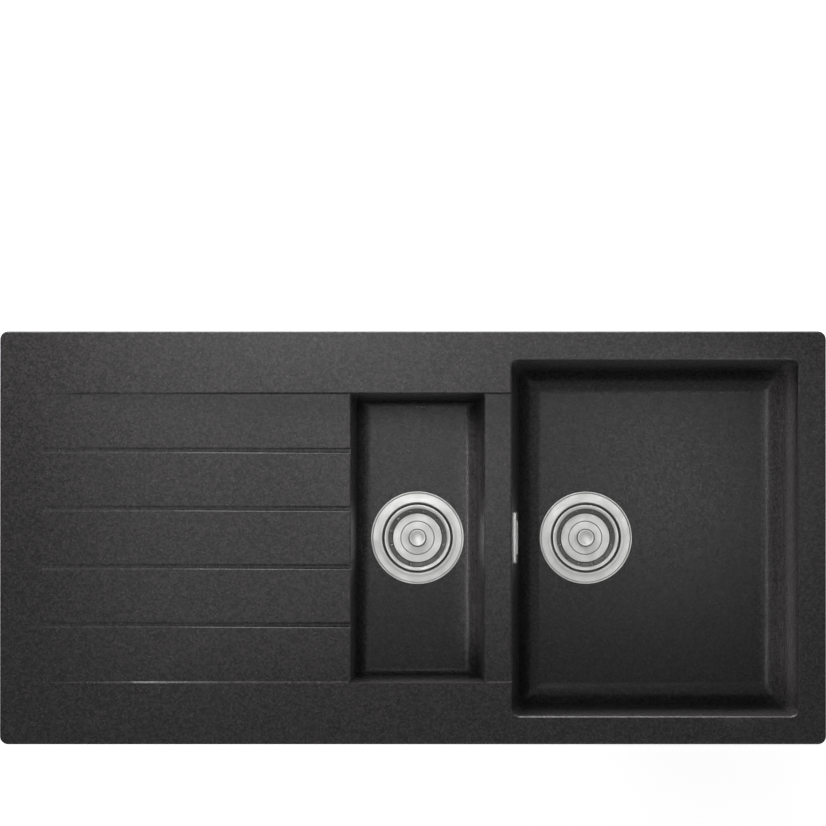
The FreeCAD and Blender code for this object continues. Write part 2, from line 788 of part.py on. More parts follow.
def main():
    os.makedirs("parts", exist_ok=True)
    write("sink_body", sink_body())
    write("rim_seal", rim_seal())
    write("strainer_cups", at_drains(strainer_cup))
    write("waste_gaskets", at_drains(waste_gasket))
    write("waste_screws", at_drains(waste_screw))
    write("main_waste_body", at_drain(waste_body_with_socket(), main_drain))
    write("small_waste_body", at_drain(waste_body(), small_drain))
    for bowl, drain in (("main", main_drain), ("small", small_drain)):
        write(bowl + "_basket", at_drain(basket(), drain))
        write(bowl + "_basket_knob", at_drain(basket_knob(), drain))
        write(bowl + "_stopper_seal", at_drain(stopper_seal(), drain))
    write("overflow_cover", overflow_cover())
    write("overflow_screw", overflow_screw())
    write("overflow_gasket", overflow_gasket())
    write("overflow_elbow", overflow_elbow())
    write("overflow_hose", overflow_hose())
    write("clamp_inserts", Part.makeCompound(at_clamps(clamp_insert)))
    write("clamp_screws", Part.makeCompound(at_clamps(clamp_screw)))
    for name, x, y, turn in clamp_places():
        write(name, placed(clamp_arm(), x, y, turn))


main()
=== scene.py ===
import json
import math

import bpy
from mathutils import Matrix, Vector

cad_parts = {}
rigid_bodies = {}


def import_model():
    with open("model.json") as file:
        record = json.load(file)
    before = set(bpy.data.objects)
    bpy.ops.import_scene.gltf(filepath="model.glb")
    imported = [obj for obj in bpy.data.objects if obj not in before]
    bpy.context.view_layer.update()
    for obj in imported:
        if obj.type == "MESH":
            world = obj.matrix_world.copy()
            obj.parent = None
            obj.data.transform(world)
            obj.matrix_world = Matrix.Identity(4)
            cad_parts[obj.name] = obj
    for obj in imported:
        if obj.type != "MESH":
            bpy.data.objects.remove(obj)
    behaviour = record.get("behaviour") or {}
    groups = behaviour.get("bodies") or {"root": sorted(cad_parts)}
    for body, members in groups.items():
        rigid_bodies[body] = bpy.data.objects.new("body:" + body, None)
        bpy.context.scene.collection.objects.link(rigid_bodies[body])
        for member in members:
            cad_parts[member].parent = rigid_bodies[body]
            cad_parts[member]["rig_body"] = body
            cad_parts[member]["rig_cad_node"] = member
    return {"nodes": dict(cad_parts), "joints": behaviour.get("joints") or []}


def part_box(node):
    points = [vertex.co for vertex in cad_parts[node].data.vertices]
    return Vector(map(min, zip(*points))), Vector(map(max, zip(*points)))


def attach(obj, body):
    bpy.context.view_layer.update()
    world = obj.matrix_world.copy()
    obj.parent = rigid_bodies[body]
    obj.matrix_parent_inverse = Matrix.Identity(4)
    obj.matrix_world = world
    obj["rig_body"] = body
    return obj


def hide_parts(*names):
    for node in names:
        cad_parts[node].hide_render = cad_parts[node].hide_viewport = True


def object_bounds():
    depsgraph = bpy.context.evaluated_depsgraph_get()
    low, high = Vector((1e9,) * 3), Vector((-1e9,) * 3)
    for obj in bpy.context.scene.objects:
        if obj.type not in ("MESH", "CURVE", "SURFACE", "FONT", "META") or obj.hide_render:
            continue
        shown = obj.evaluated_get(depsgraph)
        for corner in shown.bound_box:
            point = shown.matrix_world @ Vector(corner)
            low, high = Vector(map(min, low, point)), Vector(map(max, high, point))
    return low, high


bl_info = {
    "name": "Composite kitchen sink with drainboard",
    "version": (1, 0, 0),
    "blender": (4, 5, 0),
    "location": "3D View > Sidebar > Sink",
    "description": "Dresses the one and a half bowl sink: casting, strainers, wastes, overflow and clamps",
    "category": "Object",
}

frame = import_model()
frame_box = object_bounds()
MM = 0.001
UP = Vector((0, 0, 1))
BOWLS = ("main", "small")
CLAMPS = ("clamp_back_left", "clamp_back_right", "clamp_front_left", "clamp_front_right")
BROAD_FACE = 0.002  # square metres; a face this large is flat, so it is shaded flat
WELD = 0.000002  # metres; points of a new piece this near each other are one point
SOLID_WELD = 0.000005  # metres; the same for a copy of a solid from the frame
LEVEL = math.radians(0.2)  # faces of such a copy that turn less than this are one face
COVER_LEAN = math.radians(3.7)  # how far the wall with the overflow leans from upright
FLOOR_GLOW = 0.82  # what a camera adds to the lit floor, so that it sees the floor as white
SENSOR = 36  # millimetres, the width of the camera's sensor


# ---- places read from the frame ----
def middle(node):
    low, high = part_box(node)
    return (low + high) / 2


def drain(bowl):
    """The middle of a bowl's drain, level with the bowl's floor."""
    place = middle(bowl + "_basket")
    place.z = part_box(bowl + "_basket")[1].z + 5 * MM
    return place


def clamp_centre(clamp):
    """The middle of a clamp's screw, read from its joint."""
    joint = next(j for j in frame["joints"] if j["name"] == clamp + "_swing")
    return Vector(joint["pos_m"])


# ---- sizes and colours a user would change ----
class SinkSizes(bpy.types.PropertyGroup):
    edge_round: bpy.props.FloatProperty(
        name="Casting edge", description="How far the casting's sharp edges are rounded",
        default=0.0011, min=0.0001, max=0.003, unit="LENGTH", precision=5)
    granule: bpy.props.FloatProperty(
        name="Granule", description="Width of the quartz granules in the composite",
        default=0.0023, min=0.0003, max=0.01, unit="LENGTH", precision=5)
    turned_steps: bpy.props.IntProperty(
        name="Turned steps", description="Flats round each turned piece",
        default=96, min=24, max=256)
    strainer_bead: bpy.props.FloatProperty(
        name="Strainer bead", description="Height of the bead round the strainer's flange",
        default=0.0004, min=0.0, max=0.0008, unit="LENGTH", precision=5)
    hose_rib: bpy.props.FloatProperty(
        name="Hose rib", description="Distance from one rib of the overflow hose to the next",
        default=0.004, min=0.002, max=0.01, unit="LENGTH", precision=4)
    thread_pitch: bpy.props.FloatProperty(
        name="Outlet thread", description="Pitch of the thread on the waste outlets",
        default=0.003, min=0.001, max=0.005, unit="LENGTH", precision=4)


class SinkColours(bpy.types.PropertyGroup):
    composite: bpy.props.FloatVectorProperty(
        name="Composite", description="Main colour of the stone composite",
        subtype="COLOR", size=3, default=(0.053, 0.0495, 0.0508), min=0, max=1)
    fleck: bpy.props.FloatVectorProperty(
        name="Fleck", description="Colour of the lighter quartz flecks",
        subtype="COLOR", size=3, default=(0.12, 0.115, 0.116), min=0, max=1)
    steel: bpy.props.FloatVectorProperty(
        name="Steel", description="Colour of the strainers and baskets",
        subtype="COLOR", size=3, default=(0.36, 0.36, 0.355), min=0, max=1)
    zinc: bpy.props.FloatVectorProperty(
        name="Zinc", description="Colour of the plated screws",
        subtype="COLOR", size=3, default=(0.52, 0.53, 0.56), min=0, max=1)
    rubber: bpy.props.FloatVectorProperty(
        name="Rubber", description="Colour of the stoppers and gaskets",
        subtype="COLOR", size=3, default=(0.018, 0.018, 0.019), min=0, max=1)
    foam: bpy.props.FloatVectorProperty(
        name="Foam", description="Colour of the sealing strip",
        subtype="COLOR", size=3, default=(0.09, 0.09, 0.095), min=0, max=1)
    white_plastic: bpy.props.FloatVectorProperty(
        name="Waste plastic", description="Colour of the wastes and the overflow",
        subtype="COLOR", size=3, default=(0.72, 0.72, 0.7), min=0, max=1)
    grey_plastic: bpy.props.FloatVectorProperty(
        name="Clamp plastic", description="Colour of the worktop clamps",
        subtype="COLOR", size=3, default=(0.17, 0.17, 0.18), min=0, max=1)


class StageSettings(bpy.types.PropertyGroup):
    camera_height: bpy.props.FloatProperty(
        name="Camera height", description="Height of the camera over the rim",
        default=10.992, min=1.0, max=50.0, unit="LENGTH")
    picture_width: bpy.props.FloatProperty(
        name="Picture width", description="Width of what the picture shows at the rim",
        default=1.0, min=0.2, max=5.0, unit="LENGTH")
    picture_middle: bpy.props.FloatProperty(
        name="Picture middle", description="How far behind the sink's centre line the picture's middle is",
        default=0.151, min=-1.0, max=1.0, unit="LENGTH")
    key_power: bpy.props.FloatProperty(
        name="Key lamp", description="Power of the soft key lamp over the back of the sink",
        default=1.35, min=0.0, max=500.0, unit="POWER")
    ledge_power: bpy.props.FloatProperty(
        name="Ledge lamp", description="Power of the low broad lamp over the tap ledge",
        default=0.2, min=0.0, max=500.0, unit="POWER")
    back_power: bpy.props.FloatProperty(
        name="Back lamp", description="Power of the low lamp behind the sink, which draws its edges",
        default=40.0, min=0.0, max=500.0, unit="POWER")
    bowl_power: bpy.props.FloatProperty(
        name="Bowl lamps", description="Power of the narrow lamp over each bowl",
        default=0.013, min=0.0, max=50.0, unit="POWER")
    wall_power: bpy.props.FloatProperty(
        name="Wall lamps", description="Power of the low lamp that lights the right-hand wall of each bowl",
        default=0.17, min=0.0, max=50.0, unit="POWER")
    fill_power: bpy.props.FloatProperty(
        name="Fill lamp", description="Power of the wide fill lamp in front",
        default=20.0, min=0.0, max=500.0, unit="POWER")
    surroundings: bpy.props.FloatProperty(
        name="Surroundings", description="Strength of the light from all round",
        default=0.08, min=0.0, max=1.0)


def sizes():
    return bpy.context.scene.sink_sizes


def colours():
    return bpy.context.scene.sink_colours


# ---- modelling steps ----
def nothing_selected():
    if bpy.context.object and bpy.context.object.mode != "OBJECT":
        bpy.ops.object.mode_set(mode="OBJECT")
    bpy.ops.object.select_all(action="DESELECT")


def only(piece):
    nothing_selected()
    piece.select_set(True)
    bpy.context.view_layer.objects.active = piece


def edit_all(piece):
    only(piece)
    bpy.ops.object.mode_set(mode="EDIT")
    bpy.ops.mesh.select_all(action="SELECT")


def stop_editing():
    bpy.ops.object.mode_set(mode="OBJECT")


def into_mesh(piece):
    """Puts the piece's place, turn and size into its mesh."""
    only(piece)
    bpy.ops.object.transform_apply(location=True, rotation=True, scale=True)
    return piece


def turn_outward(piece):
    """Merges points that meet and turns every face outwards."""
    edit_all(piece)
    bpy.ops.mesh.remove_doubles(threshold=WELD)
    bpy.ops.mesh.normals_make_consistent(inside=False)
    stop_editing()
    return piece


def modified(piece, kind, **settings):
    """Adds a modifier to the piece and applies it."""
    only(piece)
    bpy.ops.object.modifier_add(type=kind)
    modifier = piece.modifiers[-1]
    for key, value in settings.items():
        setattr(modifier, key, value)
    bpy.ops.object.modifier_apply(modifier=modifier.name)
    return piece


def softened(piece, width, segments=2, angle=30):
    """Rounds the piece's sharp edges by a width in millimetres and shades the rest smooth."""
    modified(piece, "BEVEL", width=width * MM, segments=segments, limit_method="ANGLE",
             angle_limit=math.radians(angle), use_clamp_overlap=True)
    return smoothed(piece, angle)


def smoothed(piece, angle=30):
    """Shades the piece smooth up to an angle in degrees, and its broad flat faces flat."""
    only(piece)
    bpy.ops.object.shade_smooth_by_angle(angle=math.radians(angle))
    for face in piece.data.polygons:
        if face.area > BROAD_FACE:
            face.use_smooth = False
    modified(piece, "WEIGHTED_NORMAL", keep_sharp=True, weight=80)
    return piece


def block(name, low, high):
    """A box between two corners in millimetres, its mesh at its place."""
    low, high = Vector(low) * MM, Vector(high) * MM
    nothing_selected()
    bpy.ops.mesh.primitive_cube_add(size=1, location=(low + high) / 2, scale=high - low)
    piece = bpy.context.object
    piece.name = name
    return into_mesh(piece)


def rounded_block(name, low, high, radius, segments):
    """A block with every edge bevelled by a radius in millimetres."""
    piece = block(name, low, high)
    edit_all(piece)
    bpy.ops.mesh.bevel(offset=radius * MM, segments=segments, affect="EDGES")
    stop_editing()
    return piece


def prism(name, sides, across, z0, z1):
    """A regular upright prism, measured across its flats in millimetres."""
    nothing_selected()
    bpy.ops.mesh.primitive_cylinder_add(
        vertices=sides, radius=across / 2 / math.cos(math.pi / sides) * MM, depth=(z1 - z0) * MM,
        location=(0, 0, (z0 + z1) / 2 * MM))
    piece = bpy.context.object
    piece.name = name
    return into_mesh(piece)


def turned(name, outline, steps=None):
    """Draws a closed outline of (radius, height) in millimetres point by point and spins it about Z."""
    nothing_selected()
    start = Vector((outline[0][0], 0, outline[0][1])) * MM
    bpy.ops.mesh.primitive_plane_add(size=MM, location=start)
    piece = bpy.context.object
    piece.name = name
    edit_all(piece)
    bpy.ops.mesh.merge(type="CENTER")
    for here, following in zip(outline, outline[1:] + outline[:1]):
        step = ((following[0] - here[0]) * MM, 0, (following[1] - here[1]) * MM)
        bpy.ops.mesh.extrude_region_move(TRANSFORM_OT_translate={"value": step})
    bpy.ops.mesh.select_all(action="SELECT")
    bpy.ops.mesh.remove_doubles(threshold=WELD)
    bpy.ops.mesh.spin(steps=steps or sizes().turned_steps, angle=2 * math.pi, center=(0, 0, 0), axis=UP)
    bpy.ops.mesh.select_all(action="SELECT")
    bpy.ops.mesh.remove_doubles(threshold=WELD)
    bpy.ops.mesh.normals_make_consistent(inside=False)
    stop_editing()
    return into_mesh(piece)


def arc(centre, radius, start, end, steps=4):
    """Points of an outline round a centre, from one angle to another in degrees."""
    angles = [math.radians(start + (end - start) * i / steps) for i in range(steps + 1)]
    return [(centre[0] + radius * math.cos(a), centre[1] + radius * math.sin(a)) for a in angles]


def thread(radius, depth, pitch, z0, z1):
    """The zigzag side of a threaded part of an outline, from z0 to z1."""
    count = max(1, round(abs(z1 - z0) / pitch))
    step = (z1 - z0) / count
    points = []
    for i in range(count):
        z = z0 + step * i
        points += [(radius - depth, z + 0.1 * step), (radius, z + 0.4 * step),
                   (radius, z + 0.6 * step), (radius - depth, z + 0.9 * step)]
    return points


def cut_away(piece, cutters):
    """Takes the cutters' shapes out of the piece."""
    cutter = merged_pieces(cutters)
    modified(piece, "BOOLEAN", operation="DIFFERENCE", object=cutter, solver="EXACT")
    bpy.data.objects.remove(cutter)
    return piece


def merged_pieces(parts):
    """Several meshes as one object."""
    only(parts[0])
    for part in parts[1:]:
        part.select_set(True)
    if len(parts) > 1:
        bpy.ops.object.join()
    return parts[0]


def copied(piece, name, offset=(0, 0, 0), turn=0.0):
    """A copy with its own mesh, turned about Z in degrees and then moved, its place in its mesh."""
    only(piece)
    bpy.ops.object.duplicate(linked=False)
    copy = bpy.context.object
    copy.name = name
    copy.rotation_euler = (0, 0, math.radians(turn))
    copy.location = offset
    return into_mesh(copy)


def round_a_circle(piece, count, turn=0.0):
    """The piece and its copies, spaced evenly about Z, as a list."""
    copies = [copied(piece, piece.name + "_copy", turn=turn + 360 * i / count) for i in range(count)]
    bpy.data.objects.remove(piece)
    return copies


def copy_of_node(node, name):
    """The frame's own solid as a clean mesh to finish by hand."""
    only(frame["nodes"][node])
    bpy.ops.object.duplicate(linked=False)
    piece = bpy.context.object
    piece.name = name
    bpy.ops.object.parent_clear(type="CLEAR_KEEP_TRANSFORM")
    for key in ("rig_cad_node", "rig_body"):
        del piece[key]
    edit_all(piece)
    bpy.ops.mesh.remove_doubles(threshold=SOLID_WELD)
    bpy.ops.mesh.dissolve_limited(angle_limit=LEVEL)
    bpy.ops.mesh.normals_make_consistent(inside=False)
    bpy.ops.mesh.customdata_custom_splitnormals_clear()
    bpy.ops.mesh.mark_sharp(clear=True)
    stop_editing()
    return piece


def finished(piece, name, body, material, node):
    """Names the piece, gives it its finish and makes it stand for its node."""
    piece.name = name
    piece.data.name = name
    piece.data.materials.clear()
    piece.data.materials.append(material)
    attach(piece, body)
    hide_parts(node)


def one_per_bowl(model, piece, finish_for, node, moves=False):
    """Puts a copy of the model at each bowl's drain, finished, and removes the model."""
    for bowl in BOWLS:
        made = copied(model, piece, drain(bowl))
        if moves:
            body, stands_for = bowl + "_basket_set", bowl + "_" + node
        else:
            body, stands_for = "sink", node
        finished(made, bowl + "_" + piece, body, finish_for(bowl), stands_for)
    bpy.data.objects.remove(model)


def need(*nodes):
    """Stops with an error if the frame lacks one of the nodes."""
    missing = [node for node in nodes if node not in frame["nodes"]]
    if missing:
        raise RuntimeError("the frame has no node named " + ", ".join(missing))


# ---- finishes ----
class Finish:
    """A material being made: its shader, and short ways to add and join nodes."""

    def __init__(self, name, roughness, metallic=0.0, specular=0.5):
        self.material = bpy.data.materials.new(name)
        self.material.use_nodes = True
        self.nodes = self.material.node_tree.nodes
        self.links = self.material.node_tree.links
        self.shader = self.nodes["Principled BSDF"]
        self.shader.inputs["Roughness"].default_value = roughness
        self.shader.inputs["Metallic"].default_value = metallic
        self.shader.inputs["Specular IOR Level"].default_value = specular
        self.place = self.nodes.new("ShaderNodeTexCoord").outputs["Object"]

    def add(self, kind, inputs=None, **settings):
        node = self.nodes.new(kind)
        for key, value in settings.items():
            setattr(node, key, value)
        for key, value in (inputs or {}).items():
            if isinstance(value, bpy.types.NodeSocket):
                self.links.new(value, node.inputs[key])
            else:
                node.inputs[key].default_value = value
        return node

    def noise(self, scale, detail=2.0, place=None):
        inputs = {"Vector": place or self.place, "Scale": scale, "Detail": detail}
        return self.add("ShaderNodeTexNoise", inputs).outputs["Fac"]

    def maths(self, operation, *values):
        return self.add("ShaderNodeMath", dict(enumerate(values)), operation=operation).outputs["Value"]

    def spread(self, value, low, high, start=0.0, end=1.0):
        """Spreads a value from start to end over low to high."""
        inputs = {"Value": value, "From Min": start, "From Max": end, "To Min": low, "To Max": high}
        return self.add("ShaderNodeMapRange", inputs).outputs["Result"]

    def mix(self, share, first, second):
        """Two colours mixed by a share from 0 to 1."""
        node = self.add("ShaderNodeMix", data_type="RGBA")
        for socket, value in (("Factor_Float", share), ("A_Color", first), ("B_Color", second)):
            found = next(i for i in node.inputs if i.identifier == socket)
            if isinstance(value, bpy.types.NodeSocket):
                self.links.new(value, found)
            else:
                found.default_value = value
        return next(o for o in node.outputs if o.identifier == "Result_Color")

    def colour(self, value):
        self.links.new(value, self.shader.inputs["Base Color"])

    def roughness(self, value):
        self.links.new(value, self.shader.inputs["Roughness"])

    def relief(self, height, distance, strength=1.0):
        bump = self.add("ShaderNodeBump", {"Height": height, "Distance": distance, "Strength": strength})
        self.links.new(bump.outputs["Normal"], self.shader.inputs["Normal"])


def rgba(colour, factor=1.0):
    return (colour[0] * factor, colour[1] * factor, colour[2] * factor, 1.0)


def speckled_composite(name):
    """Cast quartz composite: close dark granules, scattered paler flecks and a fine dull tooth."""
    finish = Finish(name, 0.3, specular=0.15)
    base = colours().composite
    size = sizes().granule
    cells = finish.add("ShaderNodeTexVoronoi", {"Vector": finish.place, "Scale": 1 / size})
    shade = finish.add("ShaderNodeSeparateColor", {"Color": cells.outputs["Color"]})
    granules = finish.mix(shade.outputs["Red"], rgba(base, 0.4), rgba(base, 1.6))
    grains = finish.add("ShaderNodeTexVoronoi", {"Vector": finish.place, "Scale": 2.7 / size})
    grit = finish.add("ShaderNodeSeparateColor", {"Color": grains.outputs["Color"]})
    dusted = finish.mix(finish.spread(grit.outputs["Green"], 0.0, 0.6), granules, rgba(base, 0.5))
    flecks = finish.add("ShaderNodeTexVoronoi", {"Vector": finish.place, "Scale": 0.8 / size})
    chosen = finish.add("ShaderNodeSeparateColor", {"Color": flecks.outputs["Color"]})
    rare = finish.spread(chosen.outputs["Green"], 0.0, 1.0, 0.86, 0.92)
    near = finish.spread(flecks.outputs["Distance"], 1.0, 0.0, 0.2, 0.38)
    finish.colour(finish.mix(finish.maths("MULTIPLY", rare, near), dusted, rgba(colours().fleck)))
    finish.roughness(finish.spread(shade.outputs["Blue"], 0.26, 0.36))
    finish.relief(finish.noise(1.6 / size, 3.0), 0.0002, 0.35)
    return finish.material


def turned_steel(name, place):
    """Satin steel with fine turning marks round a centre."""
    finish = Finish(name, 0.3, metallic=1.0)
    moved = finish.add("ShaderNodeMapping", {"Vector": finish.place, "Location": tuple(-place)})
    parts = finish.add("ShaderNodeSeparateXYZ", {"Vector": moved.outputs["Vector"]})
    square_x, square_y = [finish.maths("MULTIPLY", parts.outputs[axis], parts.outputs[axis]) for axis in "XY"]
    radius = finish.maths("SQRT", finish.maths("ADD", square_x, square_y))
    rings = finish.add("ShaderNodeCombineXYZ", {"X": radius, "Y": parts.outputs["Z"]})
    marks = finish.noise(2600.0, 3.0, rings.outputs["Vector"])
    steel = colours().steel
    finish.colour(finish.mix(finish.spread(marks, 0.0, 1.0, 0.3, 0.7), rgba(steel, 0.9), rgba(steel)))
    finish.roughness(finish.spread(finish.noise(60.0), 0.38, 0.48, 0.3, 0.7))
    finish.relief(marks, 0.00003, 0.35)
    return finish.material


def brushed_steel(name):
    """Satin steel with straight brush marks, for the overflow's cover."""
    finish = Finish(name, 0.3, metallic=1.0)
    moved = finish.add("ShaderNodeMapping", {"Vector": finish.place, "Scale": (3000.0, 40.0, 3000.0)})
    marks = finish.noise(1.0, 3.0, moved.outputs["Vector"])
    steel = colours().steel
    finish.colour(finish.mix(finish.spread(marks, 0.0, 1.0, 0.3, 0.7), rgba(steel, 0.88), rgba(steel)))
    finish.roughness(finish.spread(marks, 0.24, 0.38, 0.3, 0.7))
    finish.relief(marks, 0.00003, 0.3)
    return finish.material


def zinc_plate(name):
    """Zinc plating: a cool grey that is cloudy and faintly spangled."""
    finish = Finish(name, 0.38, metallic=1.0)
    clouds = finish.noise(240.0, 4.0)
    zinc = colours().zinc
    finish.colour(finish.mix(finish.spread(clouds, 0.0, 1.0, 0.35, 0.65), rgba(zinc, 0.8), rgba(zinc, 1.1)))
    finish.roughness(finish.spread(clouds, 0.3, 0.5, 0.3, 0.7))
    finish.relief(finish.noise(1800.0), 0.00003, 0.4)
    return finish.material


def moulded_rubber(name):
    """Soft black rubber with a dull bloom."""
    finish = Finish(name, 0.6, specular=0.4)
    bloom = finish.noise(180.0, 4.0)
    rubber = colours().rubber
    finish.colour(finish.mix(finish.spread(bloom, 0.0, 1.0, 0.4, 0.75), rgba(rubber), rgba(rubber, 1.8)))
    finish.roughness(finish.spread(bloom, 0.5, 0.72, 0.3, 0.7))
    finish.relief(finish.noise(2200.0, 2.0), 0.00005, 0.4)
    return finish.material


def closed_cell_foam(name):
    """Foam strip with small closed cells."""
    finish = Finish(name, 0.85, specular=0.2)
    cells = finish.add("ShaderNodeTexVoronoi", {"Vector": finish.place, "Scale": 1600.0}).outputs["Distance"]
    foam = colours().foam
    finish.colour(finish.mix(finish.spread(cells, 0.0, 1.0, 0.1, 0.7), rgba(foam, 0.6), rgba(foam, 1.25)))
    finish.relief(cells, 0.0002, 0.6)
    return finish.material


def moulded_plastic(name, colour, gloss=0.42):
    """Moulded polypropylene: fine spark-eroded texture and faint flow streaks."""
    finish = Finish(name, gloss, specular=0.45)
    flow = finish.noise(35.0, 3.0)
    streaks = finish.spread(flow, 0.0, 1.0, 0.35, 0.7)
    finish.colour(finish.mix(streaks, rgba(colour, 0.93), rgba(colour, 1.03)))
    finish.roughness(finish.spread(finish.noise(900.0), gloss - 0.05, gloss + 0.08, 0.3, 0.7))
    finish.relief(finish.noise(1500.0, 2.0), 0.00004, 0.4)
    return finish.material


def made_once(make, name, *values):
    """The finish of that name, made the first time it is asked for."""
    return bpy.data.materials.get(name) or make(name, *values)


def composite():
    return made_once(speckled_composite, "speckled_composite")


def cover_steel():
    return made_once(brushed_steel, "brushed_steel")


def round_steel(bowl):
    return made_once(turned_steel, "turned_steel_" + bowl, drain(bowl))


def zinc():
    return made_once(zinc_plate, "zinc_plate")


def rubber(bowl=None):
    """One rubber for every piece, whichever bowl it belongs to."""
    return made_once(moulded_rubber, "moulded_rubber")


def foam():
    return made_once(closed_cell_foam, "closed_cell_foam")


def waste_plastic():
    return made_once(moulded_plastic, "white_polypropylene", colours().white_plastic)


def clamp_plastic():
    return made_once(moulded_plastic, "grey_polypropylene", colours().grey_plastic, 0.5)


# ---- the pieces ----
class SINK_OT_casting(bpy.types.Operator):
    """Finish the sink's casting: every hard edge rounded, in speckled composite"""
    bl_idname = "sink.casting"
    bl_label = "Sink casting"

    def execute(self, context):
        need("sink_body")
        casting = copy_of_node("sink_body", "sink_casting")
        softened(casting, sizes().edge_round / MM, 3, 24)
        finished(casting, "sink_casting", "sink", composite(), "sink_body")
        return {"FINISHED"}


class SINK_OT_sealing_strip(bpy.types.Operator):
    """Lay the foam strip under the rim"""
    bl_idname = "sink.sealing_strip"
    bl_label = "Sealing strip"
    strip_width = 4.5 * MM
    corner_radius = 7 * MM

    def execute(self, context):
        need("rim_seal")
        low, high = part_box("rim_seal")
        nothing_selected()
        bpy.ops.mesh.primitive_plane_add(size=1, location=(0, 0, low.z))
        strip = bpy.context.object
        strip.scale = (high.x - low.x, high.y - low.y, 1)
        into_mesh(strip)
        edit_all(strip)
        bpy.ops.mesh.bevel(offset=self.corner_radius, segments=5, affect="VERTICES")
        bpy.ops.mesh.select_all(action="SELECT")
        bpy.ops.mesh.inset(thickness=self.strip_width)
        bpy.ops.mesh.delete(type="ONLY_FACE")
        bpy.ops.mesh.select_all(action="SELECT")
        bpy.ops.mesh.extrude_region_move(TRANSFORM_OT_translate={"value": (0, 0, high.z - low.z)})
        stop_editing()
        turn_outward(strip)
        softened(strip, 0.35, 3)
        finished(strip, "foam_sealing_strip", "sink", foam(), "rim_seal")
        return {"FINISHED"}


class SINK_OT_strainer_cups(bpy.types.Operator):
    """Press the two steel strainer cups with their flanges and slotted floors"""
    bl_idname = "sink.strainer_cups"
    bl_label = "Strainer cups"

    def execute(self, context):
        need("strainer_cups")
        bead = sizes().strainer_bead / MM
        dip = -0.7 - bead
        upper = ([(3.4, -42.3), (9, -42.3), (10.2, -41.9), (26, -41.9), (27.4, -42.3)]
                 + arc((38, -38.8), 3.5, -90, 0) + [(41.5, -12.5), (41.5, -4)]
                 + arc((44.6, -3.6), 3.1, 180, 95, 5)
                 + [(46.6, dip + 0.25), (49, dip), (54.2, dip), (55.2, -0.45), (56, -0.3), (56.7, -0.45),
                    (57, -0.9), (57, -1.4)])
        lower = ([(55, -1.5), (45.4, -1.5)] + arc((45.2, -4), 2.5, 95, 180, 4)
                 + [(42.7, -38.8)] + arc((38, -38.8), 4.7, 0, -90) + [(3.4, -43.5)])
        cup = turned("strainer_cup", upper + lower)
        slot = rounded_block("slot", (11, -3, -46), (24, 3, -40), 2.9, 6)
        cut_away(cup, round_a_circle(slot, 6))
        smoothed(cup, 32)
        one_per_bowl(cup, "strainer_cup", round_steel, "strainer_cups")
        return {"FINISHED"}


class SINK_OT_waste_gaskets(bpy.types.Operator):
    """Mould the ribbed rubber gaskets under the bowls"""
    bl_idname = "sink.waste_gaskets"
    bl_label = "Waste gaskets"

    def execute(self, context):
        need("waste_gaskets")
        outline = [(46.1, -10.9), (46.1, -8.1), (46.3, -8), (55.6, -8), (55.9, -8.3), (56, -9), (55.5, -9.5),
                   (56, -10), (55.9, -10.7), (55.6, -11), (46.3, -11)]
        gasket = turned("waste_gasket", outline)
        smoothed(gasket, 40)
        one_per_bowl(gasket, "waste_gasket", rubber, "waste_gaskets")
        return {"FINISHED"}


class SINK_OT_waste_screws(bpy.types.Operator):
    """Make the hexagon bolts that hold each strainer cup"""
    bl_idname = "sink.waste_screws"
    bl_label = "Waste bolts"

    def execute(self, context):
        need("waste_screws")
        head = prism("waste_bolt", 6, 10, -42.28, -39.9)
        softened(head, 0.45, 3)
        cut_away(head, [block("slot", (-6, -0.6, -40.9), (6, 0.6, -39))])
        shank = turned("shank", [(0, -59.5), (2.2, -59.5)] + thread(2.95, 0.5, 1.0, -59.2, -45)
                       + [(2.95, -44.5), (2.95, -42.2), (0, -42.2)], 32)
        smoothed(shank, 25)
        bolt = merged_pieces([head, shank])
        one_per_bowl(bolt, "waste_bolt", round_steel, "waste_screws")
        return {"FINISHED"}


def waste_chamber():
    """The moulded chamber, ribbed under its flange, with a threaded outlet and a spider inside."""
    pitch = sizes().thread_pitch / MM
    outer = ([(46.1, -11.05), (55.4, -11.05), (56, -11.6), (56, -15.4), (55.4, -16), (51.2, -16)]
             + arc((51.2, -18.2), 2.2, 90, 180) + [(49, -26.6), (48.7, -27)] + [(48.7, -31), (49, -31.4)]
             + [(49, -53.2)] + arc((46.4, -53.6), 2.6, 0, -62) + arc((25, -66.6), 1.6, 118, 180)[:3]
             + [(22.9, -69), (22.9, -70)] + thread(23.85, 0.95, pitch, -70, -91.4)
             + [(22.9, -92.4), (22.3, -93)])
    inner = [(20.6, -93), (20, -92.4), (20, -69.4), (22.2, -67.6), (45.4, -55.6), (46, -54.6)]
    chamber = turned("waste_chamber", outer + inner)
    smoothed(chamber, 30)
    rib = block("rib", (48.6, -1.2, -27), (54.5, 1.2, -15.6))
    for vertex in rib.data.vertices:
        vertex.select = vertex.co.x > 50 * MM and vertex.co.z < -20 * MM
    only(rib)
    bpy.ops.object.mode_set(mode="EDIT")
    bpy.ops.transform.translate(value=(-5 * MM, 0, 0))
    stop_editing()
    softened(rib, 0.3)
    boss = turned("boss", [(3.1, -55.2), (3.1, -43.8), (3.4, -43.5), (7, -43.5), (7.5, -44), (7.5, -55),
                           (7, -55.5), (3.4, -55.5)], 48)
    smoothed(boss)
    web = block("web", (6.9, -2, -55.3), (46.6, 2, -43.7))
    softened(web, 0.6)
    return merged_pieces([chamber, boss] + round_a_circle(rib, 12, 15) + round_a_circle(web, 3, 60))


